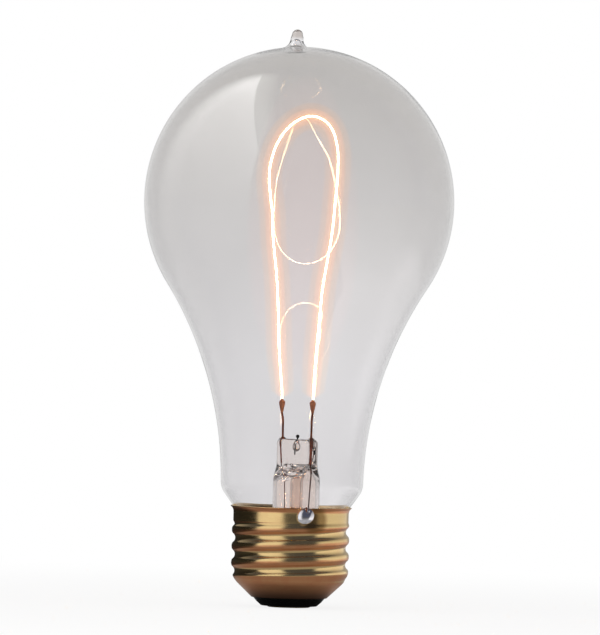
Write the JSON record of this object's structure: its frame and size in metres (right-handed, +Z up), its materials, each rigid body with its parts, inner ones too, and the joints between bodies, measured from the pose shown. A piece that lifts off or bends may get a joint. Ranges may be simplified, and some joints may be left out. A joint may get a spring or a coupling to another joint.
{
  "type": "filament bulb",
  "caption": "Pear-shaped clear glass bulb with a hairpin filament on a glass stem, a seal-off tip and a brass screw cap.",
  "frame": {"origin": "centre of the bottom contact's flat face, on the bulb's axis", "axes": "+Z up the bulb's axis from the bottom contact to the seal-off tip, +X to the right in the front view, -Y towards the soldered lead on the cap"},
  "size_m": [0.0684, 0.0684, 0.1273],
  "materials": {
    "envelope_glass": "clear blown soda-lime glass, slightly smoky",
    "stem_glass": "clear drawn lead glass",
    "anchor_wire": "dark oxidised wire with a ball end",
    "lead_copper": "heat-darkened copper wire",
    "seal_copper": "red oxidised copper sheath in the glass",
    "clamp_paste": "baked carbon and copper paste",
    "filament_carbon": "glowing carbon filament",
    "cap_brass": "rolled brass, slightly tarnished",
    "cap_cement": "baked basing cement",
    "black_glass": "glossy opaque black glass",
    "solder": "bright tin-lead solder"
  },
  "bodies": {
    "root": {"glass_envelope": "envelope_glass", "stem_tube": "stem_glass", "exhaust_tube": "stem_glass", "anchor_stub": "anchor_wire", "inner_lead_left": "lead_copper", "inner_lead_right": "lead_copper", "seal_wire_left": "seal_copper", "seal_wire_right": "seal_copper", "outer_lead_centre": "lead_copper", "outer_lead_side": "lead_copper", "filament_clamp_left": "clamp_paste", "filament_clamp_right": "clamp_paste", "filament": "filament_carbon", "screw_shell": "cap_brass", "cement_ring": "cap_cement", "insulator": "black_glass", "centre_contact": "cap_brass", "contact_solder": "solder", "side_solder": "solder"}
  },
  "joints": []
}
